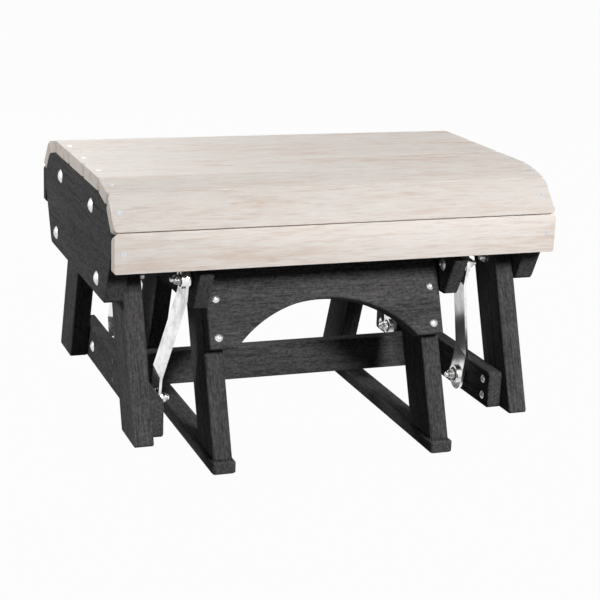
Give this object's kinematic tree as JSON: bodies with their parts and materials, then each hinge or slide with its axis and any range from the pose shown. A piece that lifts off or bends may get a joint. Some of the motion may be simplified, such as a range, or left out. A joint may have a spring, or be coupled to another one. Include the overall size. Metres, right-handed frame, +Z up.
{
  "type": "glider ottoman",
  "caption": "Slatted lumber ottoman whose rounded seat frame hangs on offset steel swing arms from a splayed base with skids and arched boards, and glides to and fro.",
  "frame": {"origin": "middle of the footprint, on the floor", "axes": "+X to the sitter's right along the slats, +Y to the back along the glide, +Z up"},
  "size_m": [0.687, 0.5174, 0.425],
  "materials": {
    "slat_boards": "pale weathered wood grain",
    "frame_boards": "black with a faint wood grain",
    "arm_bars": "zinc plated",
    "bearings": "satin",
    "bolts": "stainless, satin",
    "screws": "stainless, satin"
  },
  "bodies": {
    "base": {"arch_board_back": "frame_boards", "arch_board_front": "frame_boards", "arch_board_screws": "bolts", "base_leg_back_left": "frame_boards", "base_leg_back_right": "frame_boards", "base_leg_front_left": "frame_boards", "base_leg_front_right": "frame_boards", "base_rail_left": "frame_boards", "base_rail_right": "frame_boards", "base_rail_screws": "bolts", "base_skid_left": "frame_boards", "base_skid_right": "frame_boards", "skid_screws": "screws", "upper_pivot_bolts": "bolts", "upper_pivot_nuts": "bolts", "upper_pivot_spacers": "bearings", "upper_pivot_washers": "bolts"},
    "seat": {"cross_stretcher": "frame_boards", "lower_pivot_bolts": "bolts", "lower_pivot_nuts": "bolts", "lower_pivot_spacers": "bearings", "lower_pivot_washers": "bolts", "panel_bolt_nuts": "bolts", "panel_bolts": "bolts", "seat_leg_back_left": "frame_boards", "seat_leg_back_right": "frame_boards", "seat_leg_front_left": "frame_boards", "seat_leg_front_right": "frame_boards", "side_panel_left": "frame_boards", "side_panel_right": "frame_boards", "side_rail_left": "frame_boards", "side_rail_right": "frame_boards", "side_rail_screws": "bolts", "slat_back_corner": "slat_boards", "slat_back_shoulder": "slat_boards", "slat_back_upright": "frame_boards", "slat_front_corner": "slat_boards", "slat_front_shoulder": "slat_boards", "slat_front_upright": "slat_boards", "slat_screws": "screws", "slat_top_1": "slat_boards", "slat_top_2": "slat_boards", "slat_top_3": "slat_boards", "stretcher_screws": "screws"},
    "arm_front_left": {"swing_arm_front_left": "arm_bars", "arm_bearings_front_left": "bearings"},
    "arm_front_right": {"swing_arm_front_right": "arm_bars", "arm_bearings_front_right": "bearings"},
    "arm_back_left": {"swing_arm_back_left": "arm_bars", "arm_bearings_back_left": "bearings"},
    "arm_back_right": {"swing_arm_back_right": "arm_bars", "arm_bearings_back_right": "bearings"}
  },
  "joints": [
    {"name": "glide", "type": "hinge", "parent": "base", "child": "arm_front_left", "pos_m": [-0.2208, -0.1865, 0.28], "axis": [1, 0, 0], "range_deg": [-10, 10]},
    {"name": "seat_hang", "type": "hinge", "parent": "arm_front_left", "child": "seat", "pos_m": [-0.2476, -0.137, 0.085], "axis": [1, 0, 0], "range_deg": [-13.7, 13.7]},
    {"name": "swing_front_right", "type": "hinge", "parent": "base", "child": "arm_front_right", "pos_m": [0.2208, -0.1865, 0.28], "axis": [1, 0, 0], "range_deg": [-10, 10]},
    {"name": "swing_back_left", "type": "hinge", "parent": "base", "child": "arm_back_left", "pos_m": [-0.2208, 0.1865, 0.28], "axis": [1, 0, 0], "range_deg": [-10, 10]},
    {"name": "swing_back_right", "type": "hinge", "parent": "base", "child": "arm_back_right", "pos_m": [0.2208, 0.1865, 0.28], "axis": [1, 0, 0], "range_deg": [-10, 10]}
  ],
  "couplings": [
    {"joint": "seat_hang", "follows": "glide", "ratio": -1.3613},
    {"joint": "swing_front_right", "follows": "glide", "ratio": 1},
    {"joint": "swing_back_left", "follows": "glide", "ratio": 1},
    {"joint": "swing_back_right", "follows": "glide", "ratio": 1}
  ]
}
